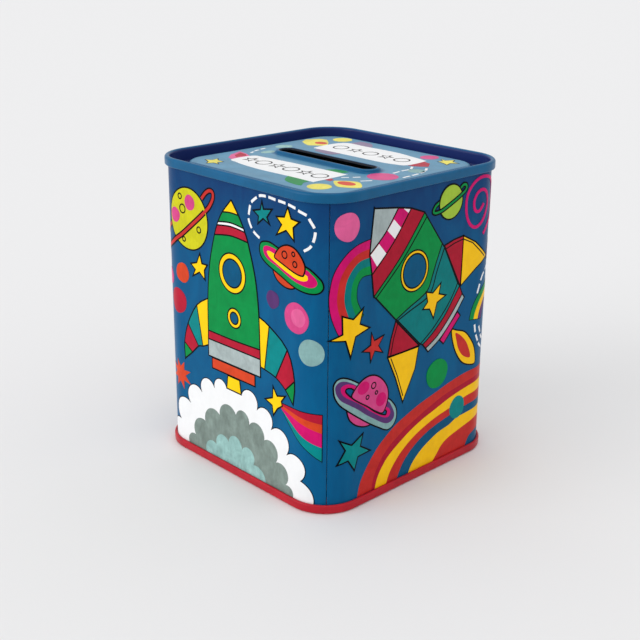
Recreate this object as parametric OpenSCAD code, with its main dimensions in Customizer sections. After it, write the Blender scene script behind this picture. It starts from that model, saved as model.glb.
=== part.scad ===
// Square tin money box: a wrapped sheet wall with a lock seam up one corner, a slotted top end
// and a recessed base end, both double-seamed onto the wall, and a push-in stopper under it.
// Origin at the middle of the footprint, on the surface the tin stands on. +Z up, front is -Y.

/* [Tin] */
// Width and depth over the wall, across the flats
body_w = 75; // [66:1:110]
// Overall height, over both seams
body_h = 93; // [60:1:140]
// Outside radius of the upright corners
corner_r = 11.5; // [10.5:0.5:14]
// Thickness of the tinplate
sheet = 0.28; // [0.24:0.01:0.3]
// Play between folded layers of tinplate
play = 0.05; // [0.04:0.01:0.06]
// Height of the double seam round each end
seam_h = 2.8; // [2.6:0.1:3.4]

/* [Side seam] */
// Angle from the corner's middle to the joint line, towards the right side
joint_turn = 4; // [0:1:8]
// Angle that the lock seam's folds cover inside the corner
fold_turn = 15; // [12:1:18]

/* [Top end] */
// Depth of the gutter below the rim
gutter_depth = 4.4; // [4.2:0.1:6]
// Depth of the raised middle below the rim
plateau_depth = 1.9; // [1.6:0.1:2]
// Half width of the flat of the raised middle
plateau_half = 31; // [28:0.5:31]
// Corner radius of the flat of the raised middle
plateau_r = 7.5; // [5:0.5:8]
// Outer radius of the bend round the raised middle
shoulder_r = 1.5; // [1:0.1:1.6]

/* [Coin slot] */
// Length of the slot's opening
slot_len = 39; // [32:1:42]
// Width of the slot's opening
slot_w = 5.1; // [4.5:0.1:6]
// Distance of the slot's middle to the left of the tin's middle
slot_left = 1; // [0:0.5:3]
// Distance of the slot's middle in front of the tin's middle
slot_front = 0.5; // [0:0.5:2]
// Height of the slot's raised lip above the flat
lip_rise = 1; // [0.8:0.1:1.4]
// Depth of the lip's turned-down edge below its bend
lip_drop = 0.1; // [0.1:0.1:1.5]

/* [Base end] */
// Height of the base panel's underside above the table
base_recess = 4.6; // [4.4:0.1:6]
// Diameter of the emptying hole
hole_d = 38; // [30:1:42]
// Height of the collar turned up round the hole
collar_h = 2.6; // [2:0.2:3.6]

/* [Stopper] */
// Width of the flange outside the hole
flange_rim = 3.5; // [3:0.5:4.5]
// Thickness of the flange and floor
flange_t = 1.6; // [1.4:0.1:2]
// Height of the cup above the flange
cup_h = 7.5; // [6:0.5:9]
// Thickness of the cup's wall
cup_wall = 1.4; // [1.2:0.1:2]
// Radial play between the cup's ribs and the hole
rib_play = 0.06; // [0.04:0.02:0.1]

/* [Hidden] */
$fn = 96;

WALL_BLUE = [0.06, 0.30, 0.50];
LACQUER_BLUE = [0.02, 0.41, 0.60];
LACQUER_RED = [0.80, 0.10, 0.20];
CLOUD_WHITE = [0.90, 0.90, 0.88];

half = body_w / 2;
layer = sheet + play;                // pitch of folded layers
small_ri = sheet / 2 + play;         // inner radius of a bend with one layer of sheet inside it
small_ro = small_ri + sheet;
cover_ri = small_ro + play;          // inner radius of the end's bend over the wall's hook
cover_ro = cover_ri + sheet;
seam_s = small_ri;                   // both bends' axis, measured outwards from the wall's outside
hem_s = 2 * play + 1.5 * sheet;      // axis of the cover's own hem
chuck_s = seam_s - cover_ro;         // inner face of the upright that plugs into the wall
hem_drop = seam_h - cover_ro - small_ro;
hook_gap = 0.1;                      // room left at each hook's cut edge
foot_flat = 0.05;                    // height taken off the base seam, so that it stands flat
top_axis = body_h - cover_ro;
base_axis = cover_ro - foot_flat;
gutter_z = body_h - gutter_depth;    // top face of the gutter's floor
plateau_z = body_h - plateau_depth;  // top face of the raised middle
foot_ri = 0.8;                       // inner radius of the bends at the gutter's and recess's edges
overlap = 0.4;                       // how far flat sheet runs into a swept edge
lap_turn = 1;                        // angle by which the lip's outer bends run into each other
lip_ro = 0.6;                        // outer radius over the slot's lip, on the opening's side
lip_r = 0.8;                         // radius of each of the two bends of the lip's outer slope
lip_turn = acos(1 - lip_rise / (2 * lip_r));
lip_w = lip_ro + 2 * lip_r * sin(lip_turn);
groove_r = 0.35;                     // radius of the bends on both sides of the joint line
fold_low = base_recess + 1.2;        // the lock seam's folds stop clear of both ends
fold_high = gutter_z - 1.2;
REACH = 20;                          // longer than any cut needs

// ---- Profiles: x runs outwards from the wall's outside, y is the height ----

// Part of a ring between two radii, from one angle to another.
module band(ri, ro, from, to) {
    intersection() {
        difference() {
            circle(ro);
            circle(ri);
        }
        polygon([
            [0, 0],
            for (k = [0:4])
                let (a = from + (to - from) * k / 4)
                    REACH * [cos(a), sin(a)]
        ]);
    }
}

// Part of a bent sheet round an axis, with the given inner radius.
module bend(axis, ri, from, to) {
    translate(axis)
        band(ri, ri + sheet, from, to);
}

// Upright strip of sheet whose inner face is at s.
module upright(s, z0, z1) {
    translate([s, min(z0, z1)])
        square([sheet, abs(z1 - z0)]);
}

// Level strip of sheet whose underside is at z.
module level(z, s0, s1) {
    translate([min(s0, s1), z])
        square([abs(s1 - s0), sheet]);
}

// The cover's half of a double seam at the top (dir = 1) or the base (dir = -1).
module cover_seam(axis_z, dir) {
    hem_z = axis_z - dir * hem_drop;
    over = dir > 0 ? 0 : 180;
    bend([seam_s, axis_z], cover_ri, over, over + 180);
    upright(seam_s + cover_ri, axis_z, hem_z);
    bend([hem_s, hem_z], small_ri, over + 180, over + 360);
    upright(play, hem_z, axis_z - dir * hook_gap);
}

// The wall's half: its edge turned out and folded back under the cover.
module wall_hook(axis_z, dir) {
    over = dir > 0 ? 0 : 180;
    bend([seam_s, axis_z], small_ri, over, over + 180);
    upright(seam_s + small_ri, axis_z, axis_z - dir * (hem_drop - hook_gap));
}

// ---- Sweeps ----

// Sweeps a profile round a square of half width h with corner radius r.
module round_square_sweep(h, r) {
    straight = 2 * (h - r);
    for (turn = [0:90:270])
        rotate(turn) {
            translate([h, straight / 2, 0])
                rotate([90, 0, 0])
                    linear_extrude(straight)
                        children();
            translate([h - r, h - r, 0])
                rotate_extrude(angle = 90)
                    translate([r, 0])
                        children();
        }
}

// Sweeps a profile round a slot. x runs outwards from the slot's edge.
module slot_sweep(length, width) {
    straight = length - width;
    for (turn = [0, 180])
        rotate(turn) {
            translate([-straight / 2, width / 2, 0])
                rotate([90, 0, 90])
                    linear_extrude(straight)
                        children();
            translate([straight / 2, 0, 0])
                rotate(-90)
                    rotate_extrude(angle = 180)
                        translate([width / 2, 0])
                            children();
        }
}

// Square with rounded corners, in plan.
module round_square(h, r) {
    square([2 * h, 2 * (h - r)], center = true);
    square([2 * (h - r), 2 * h], center = true);
    for (x = [-1, 1], y = [-1, 1])
        translate([x * (h - r), y * (h - r)])
            circle(r);
}

// Slot with round ends, in plan.
module round_slot(length, width) {
    square([length - width, width], center = true);
    for (x = [-1, 1])
        translate([x * (length - width) / 2, 0])
            circle(width / 2);
}

// Raises a plan between two heights.
module raised(z0, z1) {
    translate([0, 0, z0])
        linear_extrude(z1 - z0)
            children();
}

// ---- Side seam, in plan round the corner's centre: angle 0 is the joint line ----

// Turns a plan drawn at a corner's centre so that its angle 0 is the joint line.
module at_joint() {
    translate([half - corner_r, corner_r - half])
        rotate(joint_turn - 45)
            children();
}

// The gap under layer k of the folds, between two angles.
module seam_gap(k, from, to) {
    inner = corner_r - (k + 1) * layer;
    band(inner, inner + play, from, to);
}

// The rounded groove that the two bends leave outside, along the joint line.
module joint_groove() {
    for (side = [0, 1])
        mirror([0, side])
            polygon([
                [corner_r - groove_r, 0],
                for (a = [0:22.5:90])
                    [corner_r - groove_r * (1 - sin(a)), play / 2 + groove_r * (1 - cos(a))],
                [corner_r + 1, play / 2 + groove_r],
                [corner_r + 1, 0]
            ]);
}

// What parts the four layers: the right side's edge (layers 0 and 2) and the front's (3 and 1).
module fold_gaps() {
    hem_turn = 180 / PI * (sheet + play / 2) / corner_r;
    cut_turn = 180 / PI * play / corner_r;
    far_hem = fold_turn - hem_turn;
    joint_groove();
    translate([corner_r - 3 * layer, -play / 2])
        square([4 * layer, play]);
    seam_gap(0, hem_turn, fold_turn + 1);
    seam_gap(1, hem_turn, far_hem);
    seam_gap(2, 0, far_hem);
    // past each hooked edge
    band(corner_r - 2 * layer, corner_r - sheet, hem_turn, hem_turn + cut_turn);
    band(corner_r - 3 * layer, corner_r - layer - sheet, far_hem - cut_turn, far_hem);
}

// The wall in plan, its edges hooked into each other and flush outside.
module wall_plan() {
    step_turn = 180 / PI * (sheet + play / 2) / (corner_r - 3 * layer);
    difference() {
        union() {
            difference() {
                round_square(half, corner_r);
                round_square(half - sheet, corner_r - sheet);
            }
            at_joint()
                band(corner_r - 3 * layer - sheet, corner_r - sheet / 2, -step_turn, fold_turn);
        }
        at_joint()
            fold_gaps();
    }
}

// ---- Pieces ----

module body_wall() {
    color(WALL_BLUE) {
        difference() {
            raised(base_axis, top_axis)
                wall_plan();
            // the folds stop short of both ends, where the edges only meet
            for (z = [fold_low - REACH, fold_high])
                raised(z, z + REACH)
                    at_joint()
                        circle(corner_r - sheet - play / 2);
        }
        round_square_sweep(half, corner_r) {
            wall_hook(top_axis, 1);
            wall_hook(base_axis, -1);
        }
    }
}

// The seam, the upright inside the wall, and the bend at the gutter's edge.
module top_rim_profile() {
    cover_seam(top_axis, 1);
    upright(chuck_s, gutter_z + foot_ri, top_axis);
    bend([chuck_s - foot_ri, gutter_z + foot_ri], foot_ri, 270, 360);
    level(gutter_z - sheet, chuck_s - foot_ri - overlap, chuck_s - foot_ri);
}

// The bends that rise from the gutter to the raised middle. x runs outwards from the flat's edge.
module shoulder_profile() {
    shoulder_ri = shoulder_r - sheet;
    foot_x = shoulder_r + foot_ri;
    level(plateau_z - sheet, -overlap, 0);
    bend([0, plateau_z - shoulder_r], shoulder_ri, 0, 90);
    upright(shoulder_ri, gutter_z + foot_ri, plateau_z - shoulder_r);
    bend([foot_x, gutter_z + foot_ri], foot_ri, 180, 270);
    level(gutter_z - sheet, foot_x, foot_x + overlap);
}

// The outer slope, the bend over the lip and its turned-down edge. x runs outwards from the opening.
module lip_profile() {
    crest_z = plateau_z + lip_rise;
    upright(0, crest_z - lip_ro - lip_drop, crest_z - lip_ro);
    bend([lip_ro, crest_z - lip_ro], lip_ro - sheet, 90, 180);
    bend([lip_ro, crest_z - lip_r], lip_r - sheet, 90 - lip_turn - lap_turn, 90);
    bend([lip_w, plateau_z + lip_r], lip_r, 270 - lip_turn - lap_turn, 270);
    level(plateau_z - sheet, lip_w, lip_w + overlap);
}

module top_end() {
    gutter_out = half + chuck_s - foot_ri;
    gutter_in = plateau_half + shoulder_r + foot_ri;
    mid = overlap / 2;
    color(LACQUER_BLUE) {
        round_square_sweep(half, corner_r)
            top_rim_profile();
        translate([0, 0, gutter_z - sheet])
            linear_extrude(sheet)
                difference() {
                    round_square(gutter_out - mid, corner_r + chuck_s - foot_ri - mid);
                    round_square(gutter_in + mid, plateau_r + shoulder_r + foot_ri + mid);
                }
        round_square_sweep(plateau_half, plateau_r)
            shoulder_profile();
        translate([0, 0, plateau_z - sheet])
            linear_extrude(sheet)
                difference() {
                    round_square(plateau_half - mid, plateau_r - mid);
                    translate([-slot_left, -slot_front])
                        round_slot(slot_len + 2 * (lip_w + mid), slot_w + 2 * (lip_w + mid));
                }
        translate([-slot_left, -slot_front, 0])
            slot_sweep(slot_len, slot_w)
                lip_profile();
    }
}

// The seam, cut flat underneath, the upright inside the wall, and the bend to the base panel.
module base_rim_profile() {
    panel_top = base_recess + sheet;
    intersection() {
        cover_seam(base_axis, -1);
        translate([-REACH / 2, 0])
            square(REACH);
    }
    upright(chuck_s, base_axis, panel_top - foot_ri - sheet);
    bend([chuck_s - foot_ri, panel_top - foot_ri - sheet], foot_ri, 0, 90);
    level(base_recess, chuck_s - foot_ri - overlap, chuck_s - foot_ri);
}

// The collar turned up round the hole. x is the distance from the hole's middle.
module collar_profile() {
    hole_r = hole_d / 2;
    upright(hole_r, base_recess + sheet + foot_ri, base_recess + collar_h);
    bend([hole_r + sheet + foot_ri, base_recess + sheet + foot_ri], foot_ri, 180, 270);
    level(base_recess, hole_r + sheet + foot_ri, hole_r + sheet + foot_ri + overlap);
}

module base_end() {
    panel_half = half + chuck_s - foot_ri;
    mid = overlap / 2;
    color(LACQUER_RED) {
        round_square_sweep(half, corner_r)
            base_rim_profile();
        translate([0, 0, base_recess])
            linear_extrude(sheet)
                difference() {
                    round_square(panel_half - mid, corner_r + chuck_s - foot_ri - mid);
                    circle(hole_d / 2 + sheet + foot_ri + mid);
                }
        rotate_extrude()
            collar_profile();
    }
}

// A round bead on the cup's side, in profile, standing out to the rib radius.
module rib(cup_r, rib_r, z) {
    rib_h = 1;
    translate([cup_r - 0.2, z - rib_h / 2])
        square([rib_r - cup_r + 0.2 - (rib_h / 4), rib_h]);
    translate([rib_r - rib_h / 2, z])
        circle(rib_h / 2);
}

module stopper() {
    under_z = base_recess - flange_t;
    flange_r = hole_d / 2 + flange_rim;
    rib_r = hole_d / 2 - rib_play;
    cup_r = rib_r - 0.5;
    edge_r = 0.5;
    dish_r = hole_d / 2 - 5;
    dish_depth = 0.6;
    tab_r = 5;
    color(CLOUD_WHITE)
        difference() {
            rotate_extrude() {
                // flange with a rounded lower edge
                translate([0, under_z])
                    square([flange_r - edge_r, flange_t]);
                translate([0, under_z + edge_r])
                    square([flange_r, flange_t - edge_r]);
                translate([flange_r - edge_r, under_z + edge_r])
                    circle(edge_r);
                // cup, open towards the coins
                translate([cup_r - cup_wall, under_z])
                    square([cup_wall, flange_t + cup_h]);
                rib(cup_r, rib_r, base_recess + 1.6);
                rib(cup_r, rib_r, base_recess + collar_h + 1.4);
            }
            translate([0, 0, under_z - 1])
                cylinder(r = dish_r, h = 1 + dish_depth);
            // nick for a fingernail, at the flange's front edge
            translate([0, -flange_r, under_z])
                rotate([90, 0, 0])
                    translate([0, -tab_r + 0.9, -2.2])
                        cylinder(r = tab_r, h = 4);
        }
}

body_wall();
top_end();
base_end();
stopper();
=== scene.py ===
"""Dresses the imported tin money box: lacquered and printed tinplate, the printed pictures round its
wall and on its top, and the stage that it stands on. It is laid out as an add-on, in metres."""

import math

import bpy
from bpy.props import FloatProperty, FloatVectorProperty, PointerProperty
from mathutils import Matrix, Vector


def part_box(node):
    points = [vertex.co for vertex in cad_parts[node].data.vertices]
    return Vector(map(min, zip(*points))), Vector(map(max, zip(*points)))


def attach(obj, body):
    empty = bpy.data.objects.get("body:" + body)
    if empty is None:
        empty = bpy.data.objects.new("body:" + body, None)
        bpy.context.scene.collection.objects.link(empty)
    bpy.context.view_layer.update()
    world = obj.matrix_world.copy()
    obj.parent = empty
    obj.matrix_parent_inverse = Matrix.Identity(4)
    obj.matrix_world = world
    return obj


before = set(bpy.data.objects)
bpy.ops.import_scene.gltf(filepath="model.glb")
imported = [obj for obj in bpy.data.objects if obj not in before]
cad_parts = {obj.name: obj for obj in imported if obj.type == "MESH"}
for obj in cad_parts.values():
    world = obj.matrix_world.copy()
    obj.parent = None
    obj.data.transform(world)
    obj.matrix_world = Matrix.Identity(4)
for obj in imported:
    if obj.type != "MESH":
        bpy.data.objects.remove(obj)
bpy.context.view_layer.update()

bl_info = {
    "name": "Tin money box",
    "version": (1, 0, 0),
    "blender": (4, 5, 0),
    "location": "View3D > Sidebar > Tin",
    "description": "Prints and lacquers a square tin money box round its packed CAD model",
    "category": "Object",
}

MM = 0.001

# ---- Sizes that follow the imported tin, in millimetres ----

WALL_LOW, WALL_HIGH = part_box("body_wall")
TOP_LOW, TOP_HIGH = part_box("top_end")
BASE_LOW, BASE_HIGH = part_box("base_end")
STOPPER_LOW, STOPPER_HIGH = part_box("stopper")
HOOK_REACH = 0.66            # how far the wall's folded edges stand out past its outside
WALL_HALF = WALL_HIGH.x / MM - HOOK_REACH
TIN_HEIGHT = TOP_HIGH.z / MM
CORNER_R = 11.5
STRAIGHT = 2 * (WALL_HALF - CORNER_R)
CORNER_ARC = CORNER_R * math.pi / 2
GIRTH = 4 * (STRAIGHT + CORNER_ARC)
SEAM_H = 2.8                 # height of the double seam round each end
PLATEAU_Z = TIN_HEIGHT - 1.9  # the top's raised middle
CHUCK_IN = 0.61              # from the wall's outside in to the face of the upright inside the rim
FAR_CORNER_U = STRAIGHT + CORNER_ARC  # the middle of the corner at the right side's far end
FLOOR_SIZE = 60              # metres, so that its edge is never seen
KEY_FROM = (-0.35, -0.9, 0.26)  # towards the low soft light
KEY_ANGLE = 50               # how wide each soft light is, in degrees
TOP_ANGLE = 30
CAMERA_SHIFT = (-0.01268, -0.02712)
SLOT_X, SLOT_Y = -1, -0.5    # the middle of the slot's opening
SLOT_LENGTH, SLOT_WIDTH = 39, 5.1
LIP_WIDTH = 1.9              # the slot's raised lip, from the opening out
# Painted shade: near-black on the lip's inner side, where it turns down into the slot.
MOUTH_SHADE = (0.003, 0.006, 0.014, 1)
BODY_TIN = "tin"

# ---- The print ----

INK_TOP = 0.03               # the first film's height above the sheet
INK_STEP = 0.012             # and how much higher each film over it lies
INK_DEPTH = 0.16             # a film's side walls end inside the sheet
LINE = 0.46                  # width of the drawn outlines
FINE_LINE = 0.4              # width of the small drawn rings
MARK_LINE = 0.5              # width of the rings on the labels
MITRE_LIMIT = 0.16           # keeps the outline's sharpest tips short
PUFF_STEPS = 14              # points round each puff of a cloud
ROCKET_FIT = 0.984           # narrows the upright rocket about its right edge
BEND_STEP = 0.9              # greatest step of a film round a corner
PRINT_LOW = SEAM_H - 0.25    # the print runs just under both seams
PRINT_HIGH = TIN_HEIGHT - SEAM_H + 0.2


def srgb(red, green, blue):
    """A scene-linear colour from 0 to 255 display values."""
    def channel(value):
        value /= 255
        return value / 12.92 if value <= 0.04045 else ((value + 0.055) / 1.055) ** 2.4
    return channel(red), channel(green), channel(blue)


def colour_prop(name, words, rgb):
    """A colour setting with its display values as default."""
    return FloatVectorProperty(
        name=name, description=words, subtype="COLOR", size=3, min=0, max=1, default=srgb(*rgb)
    )


class TinInks(bpy.types.PropertyGroup):
    """Colours of the printed inks."""
    black: colour_prop("Line black", "Drawn outlines", (3, 3, 8))
    white: colour_prop("White", "Clouds, dashes and labels", (239, 240, 241))
    green: colour_prop("Rocket green", "Rockets and rings", (3, 140, 68))
    lime: colour_prop("Lime", "The small ringed planet", (162, 195, 63))
    lemon: colour_prop("Lemon", "The large ringed planet", (203, 200, 27))
    yellow: colour_prop("Yellow", "Stars and windows", (255, 206, 13))
    gold: colour_prop("Gold", "Fins and the hill's stripes", (255, 198, 22))
    crimson: colour_prop("Crimson", "Bands round the rockets", (180, 25, 52))
    maroon: colour_prop("Dark crimson", "Dark bands", (173, 24, 48))
    red: colour_prop("Red", "Planet rings and the hill", (197, 47, 43))
    orange: colour_prop("Orange", "Bands and planets", (212, 69, 36))
    magenta: colour_prop("Magenta", "Rainbows and rings", (208, 18, 108))
    pink: colour_prop("Pink", "Dots and spots", (211, 72, 134))
    rose: colour_prop("Rose", "Dark pink dots", (223, 97, 151))
    teal: colour_prop("Teal", "Stars and fins", (2, 133, 134))
    sea: colour_prop("Sea green", "Rocket body", (2, 121, 122))
    aqua: colour_prop("Pale aqua", "Pale dots", (134, 173, 172))
    mist: colour_prop("Cloud grey", "The middle cloud", (129, 145, 138))
    foam: colour_prop("Cloud aqua", "The smallest cloud", (151, 192, 188))
    purple: colour_prop("Purple", "Purple dots", (89, 53, 110))
    grey: colour_prop("Silver grey", "Rocket tail and nose", (170, 183, 183))
    window: colour_prop("Window blue", "Rocket windows", (3, 84, 124))
    straw: colour_prop("Straw", "Yellow shapes on the top", (236, 224, 96))
    mauve: colour_prop("Mauve", "The leaf behind a label", (142, 124, 155))


class TinFinish(bpy.types.PropertyGroup):
    """Colours of the tin itself, with painted shade at the top of the wall and inside the rim, and
    painted light on the top's flat.
    """
    # Painted shade: this darker blue is used high on the wall.
    sky_high_shade: colour_prop("Sky, high", "Printed blue near the top", (13, 59, 110))
    sky_low: colour_prop("Sky, low", "Printed blue near the base", (3, 87, 133))
    rim: colour_prop("Rim", "Lacquer on the rim and the shoulder", (3, 89, 133))
    well_shade: colour_prop("Well", "Lacquer inside the rim", (31, 47, 105))
    # Painted light: this paler blue stands in for the light falling on the top's flat from above.
    lit_plateau: colour_prop("Plateau", "Printed blue on the top", (75, 137, 170))
    # Painted shade: this navy stands in for the shade on the upright inside the rim.
    base: colour_prop("Base", "Red lacquer", (182, 27, 43))
    tinplate: colour_prop("Tinplate", "Bare sheet inside", (176, 178, 176))
    plastic: colour_prop("Stopper", "Soft white plastic", (226, 226, 220))
    varnish_rough: FloatProperty(
        name="Varnish roughness", description="Roughness of the print's varnish",
        default=0.3, min=0.05, max=1, subtype="FACTOR"
    )


class TinStage(bpy.types.PropertyGroup):
    """The floor, the light and the camera."""
    floor: colour_prop("Floor", "Pale floor and backdrop", (231, 231, 232))
    azimuth: FloatProperty(
        name="Azimuth", description="Camera's angle round the tin from the front",
        default=math.radians(45.72), subtype="ANGLE", unit="ROTATION"
    )
    elevation: FloatProperty(
        name="Elevation", description="Camera's angle above the horizon",
        default=math.radians(19.17), subtype="ANGLE", unit="ROTATION"
    )
    distance: FloatProperty(
        name="Distance", description="From the middle of the tin to the camera",
        default=0.3384, min=0.1, max=5, subtype="DISTANCE", unit="LENGTH"
    )
    roll: FloatProperty(
        name="Roll", description="Camera's turn about its own axis",
        default=math.radians(0.67), subtype="ANGLE", unit="ROTATION"
    )
    sky: FloatProperty(
        name="Sky", description="Strength of the even light from all round", default=0.8, min=0
    )
    key: FloatProperty(
        name="Key light", description="Strength of the low light from the front left", default=1.35,
        min=0
    )
    top: FloatProperty(
        name="Top light", description="Strength of the light from straight above", default=0.5,
        min=0
    )
    lens: FloatProperty(
        name="Lens", description="Focal length on a 36 mm sensor", default=61.03, min=10, max=300
    )


# ---- Outlines in the flat sheet: u runs round the wall, z is the height ----


def disc(u, z, radius, ratio=1.0, tilt=0.0, wobble=0.0):
    """An oval loop, a little uneven as if drawn by hand."""
    count = max(28, int(radius * 9))
    loop = []
    for k in range(count):
        a = 2 * math.pi * k / count
        r = radius * (1 + wobble * (0.6 * math.sin(3 * a + u) + 0.4 * math.sin(5 * a + z)))
        loop.append((r * math.cos(a), r * ratio * math.sin(a)))
    return moved(loop, u, z, tilt)


def star(u, z, size, tilt=90.0, points=5, waist=0.42):
    """A star whose first tip points along tilt."""
    loop = []
    for k in range(2 * points):
        a = math.pi * k / points
        reach = size * (waist if k % 2 else 1 + 0.08 * math.sin(2.3 * k + u))
        loop.append((reach * math.cos(a), reach * math.sin(a)))
    return moved(loop, u, z, tilt)


def moved(loop, u, z, tilt=0.0):
    """The loop turned by tilt, in degrees, and carried to (u, z)."""
    c = math.cos(math.radians(tilt))
    s = math.sin(math.radians(tilt))
    return [(u + c * p - s * q, z + s * p + c * q) for p, q in loop]


def smooth(points, steps=6, closed=False):
    """A soft curve through the points."""
    count = len(points)
    spans = count if closed else count - 1

    def pick(k):
        return points[k % count if closed else min(max(k, 0), count - 1)]

    curve = []
    for k in range(spans):
        a, b, c, d = (pick(k + n) for n in (-1, 0, 1, 2))
        for step in range(steps):
            t = step / steps
            curve.append(tuple(
                0.5 * (2 * q + (r - p) * t + (2 * p - 5 * q + 4 * r - s) * t * t
                       + (3 * q - p - 3 * r + s) * t ** 3)
                for p, q, r, s in zip(a, b, c, d)
            ))
    return curve if closed else curve + [points[-1]]


def rounded(*points):
    """A soft closed loop through the points."""
    return smooth(list(points), 5, closed=True)


def grown(loop, by):
    """The loop with every side moved outwards, or inwards if negative, with mitred corners."""
    loop = [p for p, q in zip(loop, loop[1:] + loop[:1]) if math.dist(p, q) > 1e-4]
    area = sum(p[0] * q[1] - q[0] * p[1] for p, q in zip(loop, loop[1:] + loop[:1]))
    turn = 1 if area > 0 else -1
    result = []
    for before, here, after in zip(loop[-1:] + loop[:-1], loop, loop[1:] + loop[:1]):
        normals = []
        for p, q in ((before, here), (here, after)):
            length = math.dist(p, q)
            normals.append((turn * (q[1] - p[1]) / length, turn * (p[0] - q[0]) / length))
        (au, az), (bu, bz) = normals
        spread = max(1 + au * bu + az * bz, MITRE_LIMIT)
        result.append((here[0] + by * (au + bu) / spread, here[1] + by * (az + bz) / spread))
    return result


def stroke(points, width):
    """The loop round an open line of the given width."""
    left, right = [], []
    last = len(points) - 1
    for k, (u, z) in enumerate(points):
        p, q = points[max(k - 1, 0)], points[min(k + 1, last)]
        length = math.dist(p, q)
        out_u, out_z = (q[1] - p[1]) / length, (p[0] - q[0]) / length
        left.append((u - out_u * width / 2, z - out_z * width / 2))
        right.append((u + out_u * width / 2, z + out_z * width / 2))
    return left + right[::-1]


def dashes(points, width=0.75, dash=2.7, gap=1.1):
    """Loops of a dashed line along the points."""
    points = smooth(points)
    reach = [0.0]
    for p, q in zip(points, points[1:]):
        reach.append(reach[-1] + math.dist(p, q))

    def at(length):
        k = max(n for n in range(len(points) - 1) if reach[n] <= length)
        t = (length - reach[k]) / (reach[k + 1] - reach[k])
        return tuple(a + (b - a) * t for a, b in zip(points[k], points[k + 1]))

    count = max(1, round((reach[-1] + gap) / (dash + gap)))
    pitch = (reach[-1] + gap) / count
    quarter = (pitch - gap) / 4
    return [stroke([at(n * pitch + quarter * t) for t in range(5)], width) for n in range(count)]


def puffs(notches):
    """A cloud's edge: round puffs between its notches, given as (u, z, height over width)."""
    loop = []
    for (u, z, share), (next_u, next_z, _) in zip(notches, notches[1:]):
        chord = math.dist((u, z), (next_u, next_z))
        rise = share * chord
        if rise < 0.1:
            loop.append((u, z))
            continue
        radius = (chord * chord / 4 + rise * rise) / (2 * rise)
        out_u, out_z = (next_z - z) / chord, (u - next_u) / chord
        middle_u = (u + next_u) / 2 + out_u * (rise - radius)
        middle_z = (z + next_z) / 2 + out_z * (rise - radius)
        half = math.atan2(chord / 2, radius - rise)
        facing = math.atan2(out_z, out_u)
        for k in range(PUFF_STEPS):
            a = facing - half + 2 * half * k / PUFF_STEPS
            loop.append((middle_u + radius * math.cos(a), middle_z + radius * math.sin(a)))
    return loop + [notches[-1][:2]]


# ---- Pictures as levels of film: each level is a list of (ink, loops) ----


def plain(*shapes):
    """One level of shapes without an outline, given as (ink, loop, ...)."""
    return [[(ink, list(loops)) for ink, *loops in shapes]]


def outlined(ink, *loops, line=LINE):
    """Two levels: the drawn outline, and the ink inside it."""
    return [
        [("black", [grown(loop, line / 2)]) for loop in loops],
        [(ink, [grown(loop, -line / 2)]) for loop in loops],
    ]


def banded(lines, inks, steps=1, line=LINE):
    """Two levels for a shape crossed by lines, each from its left side to its right, with one ink
    between each two. An ink of None runs on to the next line, so that line only shapes the
    sides. With more steps the sides are soft curves."""
    curves = [smooth(points) if len(points) > 2 else points for points in lines]
    lefts = smooth([curve[0] for curve in curves], steps)
    rights = smooth([curve[-1] for curve in curves], steps)
    cells = []
    start = 0
    for end, ink in enumerate(inks, 1):
        if ink is None:
            continue
        span = slice(start * steps, end * steps + 1)
        cell = lefts[span] + curves[end][1:-1] + rights[span][::-1] + curves[start][-2:0:-1]
        cells.append((ink, [grown(cell, -line / 2)]))
        start = end
    whole = lefts + curves[-1][1:-1] + rights[::-1] + curves[0][-2:0:-1]
    return [[("black", [grown(whole, line / 2)])], cells]


def striped(edges, inks):
    """Levels of stripes between edges, each a line of points."""
    edges = [smooth(edge) for edge in edges]
    stripes = [
        (ink, [near + far[::-1]]) for ink, near, far in zip(inks, edges, edges[1:])
    ]
    whole = edges[0] + edges[-1][::-1]
    return [[("black", [grown(whole, LINE / 2)])], stripes]


def ringed(ink, ball, rings, ring_inks, hole, dome, spots):
    """Levels of a planet: its lower half, the striped ring in front of it, then its upper half."""
    rings = [rounded(*ring) for ring in rings]
    rings[0] = grown(rings[0], -LINE / 2)
    outer = [grown(rings[0], LINE)]
    if hole:
        outer.append(grown(rounded(*hole), -LINE / 2))
        rings.append(grown(rounded(*hole), LINE / 2))
    stripes = [
        (ring_ink, rings[k:k + 2]) for k, ring_ink in enumerate(ring_inks)
    ]
    return stacked(
        outlined(ink, rounded(*ball)),
        [[("black", outer)], stripes],
        outlined(ink, dome),
        plain(*spots),
    )


def hooped(ink, ball, ring_ink, ring, width, front):
    """Levels of a planet with a thin ring: all of it behind, and its points from front on again
    in front."""
    line = smooth(ring, 5)
    near = line[front[0] * 5:front[1] * 5 + 1]
    return stacked(
        [[("black", [stroke(line, width + LINE)])], [(ring_ink, [stroke(line, width - LINE)])]],
        outlined(ink, ball),
        [[("black", [stroke(near[2:-2], width + LINE)])], [(ring_ink, [stroke(near, width - LINE)])]],
    )


def stacked(*pictures):
    """Pictures laid over each other, each on levels of its own."""
    return [level for picture in pictures for level in picture]


def beside(*pictures):
    """Pictures that don't overlap, on shared levels."""
    depth = max(len(picture) for picture in pictures)
    return [
        [shape for picture in pictures if k < len(picture) for shape in picture[k]]
        for k in range(depth)
    ]


def shifted(levels, du, swap):
    """A picture carried round the wall, with some inks swapped for others."""
    return [
        [(swap.get(ink, ink), [[(u + du, z) for u, z in loop] for loop in loops])
         for ink, loops in level]
        for level in levels
    ]


# ---- From flat film to the tin ----


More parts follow.
